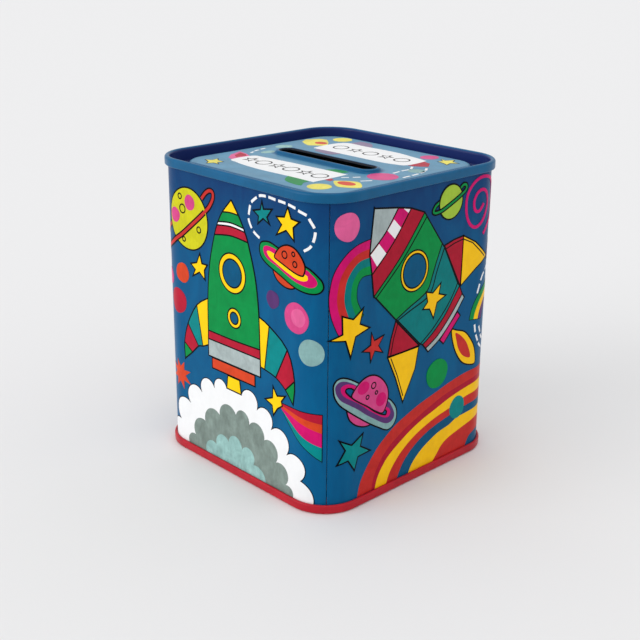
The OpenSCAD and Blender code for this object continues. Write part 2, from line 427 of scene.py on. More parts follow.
def on_wall(u, z, lift):
    """The place on the wall, in metres, of a point of the flat sheet."""
    length = (u + CORNER_ARC / 2) % GIRTH
    turn, along = divmod(length, STRAIGHT + CORNER_ARC)
    core = WALL_HALF - CORNER_R
    reach = CORNER_R + lift
    if along < CORNER_ARC:
        a = along / CORNER_R - math.pi / 2
        x, y = core + reach * math.cos(a), -core + reach * math.sin(a)
    else:
        x, y = core + reach, -core + along - CORNER_ARC
    place = Matrix.Rotation(turn * math.pi / 2, 2) @ Vector((x, y))
    return Vector((place.x, place.y, z)) * MM


def on_top(x, y, lift):
    """The place on the top's raised middle, in metres, of a point of the flat sheet."""
    return Vector((x, y, PLATEAU_Z + lift)) * MM


def select_only(*pieces):
    """Selects the pieces and nothing else, the first one active."""
    bpy.ops.object.select_all(action="DESELECT")
    for piece in pieces:
        piece.select_set(True)
    bpy.context.view_layer.objects.active = pieces[0]


def film(ink, loops, height):
    """One flat fill of ink at its height, in millimetres."""
    curve = bpy.data.curves.new(ink, "CURVE")
    curve.dimensions = "2D"
    curve.fill_mode = "BOTH"
    for loop in loops:
        spline = curve.splines.new("POLY")
        spline.points.add(len(loop) - 1)
        for point, (u, z) in zip(spline.points, loop):
            point.co = (u, z, 0, 1)
        spline.use_cyclic_u = True
    piece = bpy.data.objects.new(ink, curve)
    bpy.context.scene.collection.objects.link(piece)
    select_only(piece)
    bpy.ops.object.convert(target="MESH")
    piece.data.transform(Matrix.Translation((0, 0, height)))
    piece.data.materials.append(ink_material(ink))
    return piece


def bend_lines(low, high):
    """Where a film between two u is cut, so that it can follow the corners."""
    lines = []
    steps = math.ceil(CORNER_ARC / BEND_STEP)
    for corner in range(-2, 3):
        start = corner * (STRAIGHT + CORNER_ARC) - CORNER_ARC / 2
        lines += [start + CORNER_ARC * k / steps for k in range(steps + 1)]
    return [u for u in lines if low < u < high]


def printed(name, levels, place=on_wall, first=0):
    """Makes one printed picture: its films are filled, joined, cut for the corners, given their
    depth, and laid on the tin."""
    films = []
    for height, level in enumerate(levels):
        for ink, loops in level:
            films.append(film(ink, loops, INK_TOP + (first + height) * INK_STEP))
    select_only(*films)
    if len(films) > 1:
        bpy.ops.object.join()
    piece = bpy.context.view_layer.objects.active
    piece.name = piece.data.name = name
    bpy.ops.object.mode_set(mode="EDIT")
    if place is on_wall:
        trims = [((0, PRINT_LOW), (0, -1)), ((0, PRINT_HIGH), (0, 1))]
        for (u, z), (out_u, out_z) in trims:
            bpy.ops.mesh.select_all(action="SELECT")
            bpy.ops.mesh.bisect(plane_co=(u, z, 0), plane_no=(out_u, out_z, 0), clear_outer=True)
        low = min(v[0] for v in piece.bound_box)
        high = max(v[0] for v in piece.bound_box)
        for u in bend_lines(low, high):
            bpy.ops.mesh.select_all(action="SELECT")
            bpy.ops.mesh.bisect(plane_co=(u, 0, 0), plane_no=(1, 0, 0))
    bpy.ops.mesh.select_all(action="SELECT")
    bpy.ops.mesh.extrude_region_move(TRANSFORM_OT_translate={"value": (0, 0, -INK_DEPTH)})
    bpy.ops.mesh.select_all(action="SELECT")
    bpy.ops.mesh.normals_make_consistent(inside=False)
    bpy.ops.object.mode_set(mode="OBJECT")
    for vertex in piece.data.vertices:
        vertex.co = place(*vertex.co)
    bpy.ops.object.shade_smooth_by_angle(angle=math.radians(30))
    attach(piece, BODY_TIN)
    return piece


# ---- Materials ----


class Nodes:
    """A short way to lay out a material's nodes."""

    def __init__(self, name):
        self.material = bpy.data.materials.new(name)
        self.material.use_nodes = True
        self.tree = self.material.node_tree
        self.shader = self.tree.nodes["Principled BSDF"]

    def add(self, kind, settings=None, **inputs):
        """A node of the kind, with its settings, and its inputs as values or links."""
        node = self.tree.nodes.new(kind)
        for key, value in (settings or {}).items():
            setattr(node, key, value)
        for key, value in inputs.items():
            self.put(node, key.replace("_", " "), value)
        return node

    def put(self, node, key, value):
        """Sets one input, named or numbered, or links a socket to it."""
        socket = node.inputs[int(key[1:]) if key[0] == "i" and key[1:].isdigit() else key]
        if isinstance(value, bpy.types.NodeSocket):
            self.tree.links.new(value, socket)
        else:
            socket.default_value = value

    def math(self, operation, *values):
        """A Math node's result."""
        node = self.add("ShaderNodeMath", {"operation": operation})
        for k, value in enumerate(values):
            self.put(node, f"i{k}", value)
        return node.outputs[0]

    def mix(self, share, first, second, blend="MIX"):
        """A colour between two, by share."""
        node = self.add("ShaderNodeMix", {"data_type": "RGBA", "blend_type": blend})
        for key, value in (("i0", share), ("i6", first), ("i7", second)):
            self.put(node, key, value)
        return node.outputs[2]

    def ramp(self, value, low, high):
        """The value stretched so that low gives 0 and high gives 1, and held there."""
        node = self.add("ShaderNodeMapRange", {"clamp": True}, Value=value)
        node.inputs[1].default_value = low
        node.inputs[2].default_value = high
        return node.outputs[0]

    def place(self):
        """Object coordinates."""
        return self.add("ShaderNodeTexCoord").outputs["Object"]

    def noise(self, vector, scale, detail=3.0, rough=0.5, distortion=0.0):
        """A noise between 0 and 1."""
        node = self.add(
            "ShaderNodeTexNoise", Vector=vector, Scale=scale, Detail=detail, Roughness=rough,
            Distortion=distortion
        )
        return node.outputs[0]

    def stretched(self, vector, sizes):
        """Coordinates multiplied by sizes."""
        return self.add("ShaderNodeMapping", i0=vector, i3=sizes).outputs[0]

    def bump(self, height, strength, distance):
        """A bump's normal."""
        node = self.add(
            "ShaderNodeBump", Height=height, Strength=strength, Distance=distance * MM
        )
        return node.outputs[0]


def four(rgb):
    """A colour with full alpha."""
    return (*rgb, 1.0)


def finish():
    """The tin's colour settings."""
    return bpy.context.scene.tin_finish


PEEL_SCALE = 900             # noise scales of the varnish: its orange peel and its wear
WEAR_SCALE = 160
LACQUER_GLINT = 0.35         # share of a full gloss coat's mirror glints, on both ends
PRINT_GLINT = 0.12           # and on the print


def varnish(nodes, place, glint=LACQUER_GLINT):
    """The baked coat over lacquer and print: smooth, with a little orange peel."""
    peel = nodes.noise(place, PEEL_SCALE, 2)
    nodes.put(nodes.shader, "Normal", nodes.bump(peel, 0.12, 0.02))
    wear = nodes.noise(place, WEAR_SCALE, 4)
    rough = finish().varnish_rough
    spread = nodes.add("ShaderNodeMapRange", Value=wear)
    spread.inputs[3].default_value = rough - 0.05
    spread.inputs[4].default_value = rough + 0.07
    nodes.put(nodes.shader, "Roughness", spread.outputs[0])
    nodes.shader.inputs["IOR"].default_value = 1.5
    nodes.shader.inputs["Specular IOR Level"].default_value = 0.5 * glint


# How much an ink's tone clouds over, for the inks that differ from the rest
EVEN_MOTTLE = 0.14
MOTTLE = {
    "black": 0.05, "white": 0.03, "mist": 0.3, "foam": 0.3, "aqua": 0.22, "grey": 0.2,
    "yellow": 0.07, "gold": 0.08,
}


def ink_material(ink):
    """The ink's material, made once: painted by hand, so its tone clouds and streaks a little."""
    name = f"ink_{ink}"
    if name in bpy.data.materials:
        return bpy.data.materials[name]
    nodes = Nodes(name)
    place = nodes.place()
    tone = getattr(bpy.context.scene.tin_inks, ink)
    depth = MOTTLE.get(ink, EVEN_MOTTLE)
    dark = four(tuple(c * (1 - depth) for c in tone))
    light = four(tuple(min(1, c * (1 + depth * 0.5)) for c in tone))
    cloud = nodes.noise(place, 210, 4, 0.6, 0.6)
    streak = nodes.noise(nodes.stretched(place, (1, 1, 0.3)), 900, 3, 0.7)
    share = nodes.math("ADD", nodes.math("MULTIPLY", cloud, 0.7), nodes.math("MULTIPLY", streak, 0.3))
    nodes.put(nodes.shader, "Base Color", nodes.mix(nodes.ramp(share, 0.36, 0.64), dark, light))
    varnish(nodes, place, PRINT_GLINT)
    return nodes.material


def sheet_depth(nodes, place):
    """How far inside the wall's outside a point lies, in metres, in plan."""
    split = nodes.add("ShaderNodeSeparateXYZ", Vector=place)
    core = (WALL_HALF - CORNER_R) * MM
    spans = []
    for axis in (0, 1):
        far = nodes.math("SUBTRACT", nodes.math("ABSOLUTE", split.outputs[axis]), core)
        spans.append(nodes.math("MAXIMUM", far, 0.0))
    square = [nodes.math("MULTIPLY", span, span) for span in spans]
    reach = nodes.math("SQRT", nodes.math("ADD", *square))
    return nodes.math("SUBTRACT", CORNER_R * MM, reach), split.outputs[2]


SKY_SHADE_Z, SKY_LIGHT_Z = 90, 58  # the heights between which the printed blue grows lighter; its darker top is painted shade


def sky_tone(nodes, place, height, high, low):
    """The printed blue: darker towards the top as painted shade, with broad loose brush marks."""
    # Painted shade: the blue darkens towards the top of the wall.
    top_shade_grade = nodes.ramp(height, SKY_SHADE_Z * MM, SKY_LIGHT_Z * MM)
    tone = nodes.mix(top_shade_grade, four(high), four(low))
    sweep = nodes.noise(nodes.stretched(place, (1, 1, 0.55)), 55, 3, 0.55, 2.2)
    fine = nodes.noise(nodes.stretched(place, (1, 1, 0.25)), 420, 3, 0.7, 0.4)
    marks = nodes.math("ADD", nodes.math("MULTIPLY", sweep, 0.75), nodes.math("MULTIPLY", fine, 0.25))
    shade = nodes.ramp(marks, 0.38, 0.62)
    dark = nodes.mix(0.15, tone, (0.006, 0.03, 0.12, 1))
    light = nodes.mix(0.07, tone, (0.004, 0.26, 0.5, 1))
    return nodes.mix(shade, dark, light)


def bare_tinplate(nodes, painted, bare_share):
    """Switches the shader from lacquer to bare tinplate where bare_share is 1."""
    nodes.put(nodes.shader, "Base Color", nodes.mix(bare_share, painted, four(finish().tinplate)))
    nodes.put(nodes.shader, "Metallic", bare_share)


def wall_material():
    """Printed sky outside, darkened towards the top as painted shade, bare tinplate inside."""
    nodes = Nodes("printed_sky")
    place = nodes.place()
    depth, height = sheet_depth(nodes, place)
    tone = sky_tone(nodes, place, height, finish().sky_high_shade, finish().sky_low)
    varnish(nodes, place, PRINT_GLINT)
    bare_tinplate(nodes, tone, nodes.math("GREATER_THAN", depth, 0.2 * MM))
    return nodes.material


def slot_reach(nodes, place):
    """How far outside the slot's opening a point lies, in metres, in plan."""
    split = nodes.add("ShaderNodeSeparateXYZ", Vector=place)
    along = nodes.math("ABSOLUTE", nodes.math("SUBTRACT", split.outputs[0], SLOT_X * MM))
    along = nodes.math("MAXIMUM", nodes.math("SUBTRACT", along, (SLOT_LENGTH - SLOT_WIDTH) / 2 * MM), 0.0)
    across = nodes.math("SUBTRACT", split.outputs[1], SLOT_Y * MM)
    square = [nodes.math("MULTIPLY", span, span) for span in (along, across)]
    reach = nodes.math("SQRT", nodes.math("ADD", *square))
    return nodes.math("SUBTRACT", reach, SLOT_WIDTH / 2 * MM)


def top_material():
    """Blue lacquer: strong on the rim, the shoulder and the slot's lip, navy as painted shade deep inside
    the rim, pale on the flat as painted light, and dark as painted shade where the lip turns down into
    the slot."""
    nodes = Nodes("blue_lacquer")
    place = nodes.place()
    depth, height = sheet_depth(nodes, place)
    colours = finish()
    cloud = nodes.noise(place, 120, 3, 0.6, 1.0)
    rim = nodes.mix(nodes.ramp(cloud, 0.3, 0.7), four(tuple(c * 0.88 for c in colours.rim)),
                    four(tuple(c * 1.08 for c in colours.rim)))
    lit_plateau = nodes.mix(nodes.ramp(cloud, 0.35, 0.65), four(tuple(c * 0.9 for c in colours.lit_plateau)),
                        four(tuple(min(1, c * 1.1) for c in colours.lit_plateau)))
    # Painted shade: navy on the upright inside the rim.
    well_shade_share = nodes.ramp(depth, (CHUCK_IN - 0.35) * MM, (CHUCK_IN - 0.1) * MM)
    past_well = nodes.ramp(depth, 3.2 * MM, 4.6 * MM)
    tone = nodes.mix(well_shade_share, rim, four(colours.well_shade))
    tone = nodes.mix(past_well, tone, rim)
    # Painted light: the paler blue on the top's flat.
    plateau_light_share = nodes.ramp(depth, 6.0 * MM, 6.9 * MM)
    tone = nodes.mix(plateau_light_share, tone, lit_plateau)
    from_slot = slot_reach(nodes, place)
    tone = nodes.mix(nodes.ramp(from_slot, (LIP_WIDTH + 1) * MM, LIP_WIDTH * MM), tone, rim)
    # Painted shade: near-black where the slot's lip turns down into the opening.
    tone = nodes.mix(nodes.ramp(from_slot, 0.42 * MM, 0.3 * MM), tone, MOUTH_SHADE)
    varnish(nodes, place)
    nodes.put(nodes.shader, "Base Color", tone)
    return nodes.material


def base_material():
    """Red lacquer with a faint grain."""
    nodes = Nodes("red_lacquer")
    place = nodes.place()
    cloud = nodes.noise(place, 150, 4, 0.6, 0.8)
    tone = finish().base
    dark, light = (four(tuple(min(1, c * k) for c in tone)) for k in (0.85, 1.06))
    nodes.put(nodes.shader, "Base Color", nodes.mix(nodes.ramp(cloud, 0.35, 0.65), dark, light))
    varnish(nodes, place)
    return nodes.material


def plastic_material():
    """Soft moulded plastic: waxy, with a fine satin grain."""
    nodes = Nodes("soft_plastic")
    place = nodes.place()
    cloud = nodes.noise(place, 220, 3, 0.5)
    tone = finish().plastic
    dark = four(tuple(c * 0.93 for c in tone))
    nodes.put(nodes.shader, "Base Color", nodes.mix(nodes.ramp(cloud, 0.3, 0.7), dark, four(tone)))
    grain = nodes.noise(place, 2600, 2)
    nodes.put(nodes.shader, "Normal", nodes.bump(grain, 0.25, 0.02))
    nodes.shader.inputs["Roughness"].default_value = 0.42
    nodes.shader.inputs["Subsurface Weight"].default_value = 0.15
    nodes.shader.inputs["Subsurface Scale"].default_value = 0.002
    nodes.shader.inputs["Subsurface Radius"].default_value = (1.0, 0.9, 0.8)
    return nodes.material


def give(node, material):
    """Puts the material in every slot of a CAD node."""
    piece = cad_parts[node]
    if not piece.material_slots:
        piece.data.materials.append(material)
    for slot in piece.material_slots:
        slot.material = material


# ---- Operators ----


class TIN_OT_finish(bpy.types.Operator):
    """Gives the wall, both ends and the stopper their finishes"""
    bl_idname = "tin.finish"
    bl_label = "Finish the tinplate"

    def execute(self, context):
        give("body_wall", wall_material())
        give("top_end", top_material())
        give("base_end", base_material())
        give("stopper", plastic_material())
        return {"FINISHED"}


def upright_rocket():
    """Levels of the rocket that stands on the clouds."""
    def placed(*lines):
        return [[(-24 + ROCKET_FIT * (u + 24), z) for u, z in line] for line in lines]

    colours = ["yellow", "teal", "crimson", "green"]
    fins = beside(
        banded(placed(
            [(-47.6, 53.5), (-47.8, 38.8)], [(-53.2, 50.0), (-50.7, 37.5)],
            [(-57.9, 43.0), (-52.9, 36.9)], [(-60.0, 36.4), (-56.1, 34.0)],
            [(-59.9, 30.9), (-59.6, 31.2)],
        ), colours, 3),
        banded(placed(
            [(-24.3, 53.8), (-23.7, 38.9)], [(-19.8, 52.2), (-21.9, 38.6)],
            [(-12.2, 47.3), (-17.1, 37.6)], [(-9.2, 38.8), (-13.0, 35.1)],
            [(-9.8, 31.6), (-10.1, 31.9)],
        ), colours, 3),
    )
    body = banded(placed(
        [(-35.9, 85.2), (-35.7, 85.2)],
        [(-39.8, 81.2), (-36.3, 81.6), (-32.7, 81.5)],
        [(-41.9, 78.0), (-36.2, 78.7), (-30.5, 78.2)],
        [(-42.4, 76.9), (-36.2, 77.6), (-30.0, 77.2)],
        [(-43.7, 73.8), (-36.2, 74.9), (-28.7, 74.5)],
        [(-46.2, 65.0), (-25.7, 65.0)],
        [(-47.5, 55.0), (-24.3, 55.0)],
        [(-47.8, 43.5), (-35.9, 43.5), (-23.9, 44.0)],
        [(-47.9, 40.8), (-23.8, 41.1)],
        [(-47.9, 35.4), (-23.8, 35.6)],
    ), ["yellow", "green", "white", "crimson", None, None, "green", "crimson", "grey"], 5)
    nozzle, flame = placed(
        [(-46.3, 35.2), (-46.3, 31.8), (-26.3, 31.9), (-26.3, 35.4)],
        [(-38.9, 31.6), (-39.5, 27.3), (-32.7, 27.3), (-33.4, 31.6)],
    )
    windows = []
    for u, z, outer, inner in ((-35.7, 63.9, 5.9, 4.2), (-35.1, 50.5, 3.0, 1.8)):
        windows.append(stacked(
            outlined("yellow", disc(u, z, outer)), outlined("window", disc(u, z, inner))
        ))
    tail = beside(outlined("orange", nozzle), outlined("yellow", flame))
    return stacked(beside(fins, tail), body, beside(*windows))


class TIN_OT_front_rocket(bpy.types.Operator):
    """Prints the upright rocket on the front"""
    bl_idname = "tin.front_rocket"
    bl_label = "Front rocket"

    def execute(self, context):
        printed("front_rocket", upright_rocket(), first=3)
        return {"FINISHED"}


def cloud_bank():
    """Levels of the three clouds under the upright rocket."""
    return stacked(
        outlined("white", puffs([
            (-2.9, 2.0, 0.2), (-7, 8.9, 0.53), (-12.7, 15.1, 0.5), (-19.4, 20.6, 0.5),
            (-25.4, 25, 0.5), (-32.5, 27.4, 0), (-39.4, 27.4, 0.45), (-45.3, 25.7, 0.5),
            (-51.6, 22.25, 0.5), (-57.5, 16.6, 0.5), (-62.9, 9.4, 0.28), (-68.5, 2, 0),
        ]), line=0.3),
        plain(("mist", puffs([
            (-10.2, 2, 0.35), (-13.2, 5.3, 0.45), (-17.4, 10.9, 0.45), (-22.4, 16.2, 0.4),
            (-29.1, 18.8, 0.47), (-35.2, 19.9, 0.41), (-43, 17.25, 0.36), (-50.2, 12.8, 0.36),
            (-55.2, 6.4, 0.35), (-58.4, 2, 0),
        ]))),
        plain(("foam", puffs([
            (-21.8, 2, 0.26), (-27.5, 6.2, 0.55), (-32.7, 9.2, 0.52), (-38.9, 9.6, 0.43),
            (-44.8, 6.7, 0.4), (-49.6, 2, 0),
        ]))),
    )


class TIN_OT_front_clouds(bpy.types.Operator):
    """Prints the clouds under the upright rocket"""
    bl_idname = "tin.front_clouds"
    bl_label = "Front clouds"

    def execute(self, context):
        printed("front_clouds", cloud_bank())
        return {"FINISHED"}


def striped_planet():
    """Levels of the orange planet with its striped ring."""
    return ringed(
        "orange",
        [(-18.1, 69.4), (-17.7, 68), (-16.4, 66.5), (-14.2, 65.5), (-12, 65.2), (-10, 65.6),
         (-8.9, 66.6), (-9.2, 68.5), (-13, 70), (-16.8, 70.6)],
        [[(-23.6, 74.7), (-23, 75.8), (-21.6, 76.4), (-19.4, 76.6), (-16.6, 75.9), (-11, 74.3),
          (-5.8, 72.7), (-4.1, 71.9), (-2.5, 70.6), (-1.1, 69.1), (-0.6, 67.5), (-1.1, 66.3),
          (-2.4, 65.5), (-4.5, 65.3), (-7, 65.6), (-9.7, 66.2), (-11.9, 66.9), (-15, 68.1),
          (-18.1, 69.2), (-20.9, 70.3), (-22.8, 71.6), (-23.6, 73.1)],
         [(-22.1, 73.9), (-21.7, 75), (-20.3, 75.4), (-18.1, 75.3), (-16.7, 75), (-11, 73.4),
          (-5.6, 71.9), (-4.1, 70.9), (-2.8, 69.7), (-2.3, 68.3), (-3.1, 67.3), (-4.7, 67),
          (-7.2, 67.4), (-10.3, 68.1), (-13.4, 69.2), (-16.6, 70.5), (-19.7, 71.4), (-21.4, 72.5)],
         [(-20.6, 73.75), (-19.7, 74.1), (-18.3, 73.9), (-17, 73.6), (-11, 72), (-5.8, 70.5),
          (-5, 69.7), (-5.2, 68.9), (-6.6, 68.5), (-9.1, 68.75), (-11.6, 69.4), (-14.4, 70.3),
          (-17.2, 71.4), (-19.7, 72.5)]],
        ["green", "magenta", "yellow"], None,
        rounded((-17.5, 72.97), (-16.6, 74.7), (-15, 76.25), (-12.8, 77.2), (-10.6, 77.25),
                (-8.75, 76.6), (-7.2, 75.2), (-6.1, 73.4), (-5.8, 71.9), (-6.1, 70.6),
                (-6.7, 69.9), (-9.06, 70.15), (-11.6, 70.8), (-14.1, 71.6), (-16.25, 72.3)),
        craters((-13.4, 74.4, 1), (-9.9, 75.3, 0.6), (-9.3, 72.6, 0.8)),
    )


def craters(*places):
    """Small drawn rings, as (ink, loops), given as (u, z, radius)."""
    return [
        ("black", grown(disc(u, z, radius), FINE_LINE / 2), grown(disc(u, z, radius), -FINE_LINE / 2))
        for u, z, radius in places
    ]


def lemon_planet():
    """Levels of the large planet with a thin ring that passes behind it and in front."""
    return stacked(
        hooped(
            "lemon", disc(-55.6, 76, 9.15, 1.02), "red",
            [(-49.1, 83.2), (-47.3, 85.1), (-45.6, 86.15), (-44.3, 86.15), (-43.75, 85.4),
             (-44, 83.9), (-45.2, 82), (-46.6, 80.5), (-50.1, 77.55), (-53.25, 75.1),
             (-56.4, 72.65), (-59, 70.7), (-61.9, 68.8), (-64.3, 67.1), (-66.9, 65.7),
             (-70.1, 64.1), (-73.2, 63.3), (-74.6, 64.1), (-73.4, 66.3), (-70.1, 69.1),
             (-66.5, 71.8), (-60, 76.2)],
            1.4, (7, 14)
        ),
        plain(("pink", disc(-54.8, 81, 2.35, wobble=0.03)), ("pink", disc(-62, 76.15, 2.3, wobble=0.03)),
              *craters((-59.4, 82.2, 0.8), (-58.3, 78.6, 1.3), (-50.7, 73.6, 0.9), (-58, 69.4, 0.7))),
    )


class TIN_OT_front_planets(bpy.types.Operator):
    """Prints the two ringed planets beside the upright rocket"""
    bl_idname = "tin.front_planets"
    bl_label = "Front planets"

    def execute(self, context):
        printed("striped_planet", striped_planet())
        printed("lemon_planet", lemon_planet())
        return {"FINISHED"}


def trailing_star():
    """Levels of the star with a tail of four colours that ends at the side seam."""
    tail = striped(
        [[(-15.2, 30.5), (-0.7, 30.4)], [(-15.3, 30), (-0.7, 27.6)], [(-15.4, 29.4), (-0.7, 24.8)],
         [(-14.6, 28.6), (-6.5, 22.9), (-0.7, 20.5)],
         [(-13.9, 27.8), (-12, 25.5), (-7.7, 21.2), (-3.4, 18), (-0.7, 16.3)]],
        ["crimson", "orange", "magenta", "teal"],
    )
    return stacked(tail, outlined("yellow", [
        (-18.4, 34.5), (-16.7, 32.1), (-13.3, 33.1), (-14.9, 31), (-14.5, 29.7), (-16.5, 28.3),
        (-18.3, 25.7), (-18.8, 28.6), (-21.8, 29.6), (-18.6, 31),
    ]))


def front_sparks():
    """Levels of the loose stars, dots and dashes of the front."""
    loop = [
        (-23.6, 76.9), (-25.9, 78.1), (-27.2, 79.5), (-28.1, 81.25), (-28, 82.8), (-27.3, 85.6),
        (-26.25, 86.9), (-23.75, 88.6), (-22.8, 88.9), (-20.3, 89.06), (-16.9, 88.8),
        (-13.1, 88.6), (-9.4, 88), (-8.1, 87.5), (-5.3, 86.6), (-4.4, 85.3), (-3.1, 83.3),
        (-3, 81.6), (-3.6, 79.4), (-4.5, 78), (-6.2, 76.9),
    ]
    dots = plain(
        ("white", *dashes(loop)),
        ("purple", disc(-18.3, 60.5, 2.6, wobble=0.05)),
        ("pink", disc(-9, 57.5, 4.4, wobble=0.02)),
        ("aqua", disc(-4, 48.5, 3.85, wobble=0.02)),
        ("orange", disc(-59.3, 58.6, 3.1, wobble=0.03)),
        ("pink", disc(-67.2, 55.8, 2.6, wobble=0.03)),
        ("crimson", disc(-61.9, 49.2, 4.0, wobble=0.03)),
        ("orange", star(-62.1, 25, 5.1, 20, 8, 0.48)),
    )
    stars = beside(
        plain(("rose", disc(-8.2, 57.8, 2.6, wobble=0.04))),
        outlined("teal", [
            (-22.5, 87.3), (-21.9, 85.3), (-18.4, 85.9), (-20.5, 83.3), (-19.5, 81.6),
            (-22, 82.7), (-24.2, 80.9), (-23.9, 83), (-26.1, 84.2), (-23.1, 85),
        ]),
        outlined("yellow", [
            (-12.1, 87.7), (-10.8, 84.8), (-7.65, 84.5), (-10, 82.5), (-9.7, 79),
            (-12.7, 81.25), (-16.6, 79.3), (-14.5, 82.5), (-16.6, 84.3), (-13.4, 84.8),
        ]),
        outlined("yellow", [
            (-50.6, 66.4), (-49.7, 63.6), (-47.2, 63.7), (-48.6, 61.8), (-48.4, 58.9),
            (-50.9, 60.7), (-54.1, 58.9), (-52.9, 61.1), (-55, 62.5), (-52.1, 63.4),
        ]),
    )
    return stacked(dots, stars)


class TIN_OT_front_sparks(bpy.types.Operator):
    """Prints the stars, dots and dashes of the front"""
    bl_idname = "tin.front_sparks"
    bl_label = "Front stars and dots"

    def execute(self, context):
        printed("front_sparks", front_sparks(), first=5)
        printed("trailing_star", trailing_star(), first=2)
        return {"FINISHED"}


def leaning_rocket():
    """Levels of the rocket that leans to the left."""
    body = banded(
        [[(15.1, 87.3), (15.3, 87.1)],
         [(13.7, 74.7), (19.65, 79.7), (24.5, 85.8)],
         [(14.8, 68.8), (22.9, 76.2), (29.8, 84.8)],
         [(15.7, 62.3), (26.3, 71.8), (35.5, 82.7)],
         [(16.6, 61.7), (27.2, 70.8), (36.5, 81.3)],
         [(25, 53.4), (30.4, 55.8), (35.4, 57.7), (38.3, 59.5), (39.8, 62.8), (41.6, 67.4),
          (43.7, 72.1)],
         [(25.7, 53), (31.1, 54.8), (37.5, 56.8), (40.1, 59.2), (41.9, 64.2), (44.8, 70.7)],
         [(35.8, 43.3), (40.5, 46.2), (45.5, 50.5), (49.1, 54.5), (51.6, 58.5)],
         [(36.9, 42.8), (41.2, 45.3), (46.2, 49.4), (49.8, 53.8), (52.6, 57.4)],
         [(38.3, 41.3), (43.5, 44), (49.2, 49.1), (54, 54.6)],
         [(39.5, 39.9), (44.8, 42.8), (50.5, 47.9), (55.1, 53.3)]],
        ["grey", "maroon", "maroon", "green", "green", "sea", "sea", "sea", "maroon", "grey"],
    )
    trim = plain(("magenta", [
        (14.0, 74.3), (14.9, 69.4), (22.7, 76.5), (29.3, 84.6), (24.7, 85.4), (19.9, 79.5),
    ]))
    cells = plain(
        ("white", [(14.0, 74.5), (17.2, 77), (20.13, 73.8), (16.63, 70.8)]),
        ("white", [(20.4, 80.1), (22.87, 82.8), (25.8, 80), (23.4, 77.3)]),
        ("white", [(26.6, 85.2), (29.3, 84.6), (28.6, 83.7)]),
    )
    window = stacked(
        outlined("gold", disc(32.17, 66.3, 5.8, 1.04)), outlined("window", disc(32.17, 66.3, 4.8, 1.04))
    )
    spark = outlined("gold", [
        (37.5, 58.8), (40.5, 57.9), (43.9, 60.2), (43.2, 57), (46.4, 55.9), (42.5, 54.5),
        (41.2, 49.9), (39.3, 53.2), (36.3, 53.8), (38.3, 55.6),
    ])
    fins = beside(
        outlined("maroon", [(44.8, 71.2), (49, 72.2), (53.3, 72.6), (53.2, 65), (52.9, 57.2)]),
        outlined("gold", [(53.3, 72.6), (59.2, 69.6), (65.7, 64.2), (59.9, 61.3), (53.1, 57.2)]),
        outlined("maroon", [(25, 53), (23.2, 48), (22.1, 43), (28, 42.8), (35.4, 43)]),
        outlined("gold", [(22.1, 42.7), (25.7, 35.4), (29.1, 26.9), (34, 36.1), (35.3, 42.7)]),
        outlined("magenta", [(44.6, 42.2), (46.4, 40.6), (53.7, 47.8), (52.3, 49.3)]),
    )
    edges = plain(*(
        ("black", stroke(line, 0.35)) for line in (
            [(45.2, 70), (49.3, 71.1), (53.3, 71.6)], [(53.3, 71.6), (57.8, 69.6), (64.2, 64.2)],
            [(25.9, 52.3), (24.3, 48), (23.3, 43.2)], [(23.4, 42.2), (26.3, 36.2), (29.1, 28.9)],
        )
    ))
    flame = outlined("gold", rounded(
        (50, 44), (52.7, 43.3), (56.3, 41.9), (59.2, 39), (61.4, 35.4), (62.2, 30.4),
        (59.2, 30.4), (55.6, 32.2), (52.7, 35.8), (50.9, 39.7),
    ))
    heart = plain(("red", rounded(
        (52, 42.6), (54.9, 40.8), (57.8, 37.6), (59.6, 32.9), (56.3, 34), (53.8, 36.8), (52.4, 40.4),
    )))
    return stacked(
        beside(fins, stacked(flame, heart)), edges, body, trim, beside(cells, window, spark)
    )


class TIN_OT_right_rocket(bpy.types.Operator):
    """Prints the leaning rocket on the right side"""
    bl_idname = "tin.right_rocket"
    bl_label = "Right rocket"

    def execute(self, context):
        printed("leaning_rocket", leaning_rocket(), first=3)
        return {"FINISHED"}


def between(outer, inner, count):
    """Lines evenly spread from one line of points to another, both with as many points."""
    return [
        [tuple(a + (b - a) * k / count for a, b in zip(p, q)) for p, q in zip(outer, inner)]
        for k in range(count + 1)
    ]


def curved_rainbow():
    """Levels of the rainbow that falls from behind the leaning rocket to a star."""
    outer = [(14.4, 78.9), (8.8, 78), (5.2, 75.7), (2.3, 71.4), (1.1, 66.4), (0.95, 62.5),
             (1.6, 58.8), (3.1, 54.8), (4.3, 52.8)]
    inner = [(15, 69), (11.9, 69.1), (10.3, 68.3), (9.3, 66.6), (9.1, 64.2), (9.4, 62.4),
             (10.4, 60.4), (11.2, 59), (11.8, 58)]
    return striped(between(outer, inner, 4), ["magenta", "red", "sea", "green"])


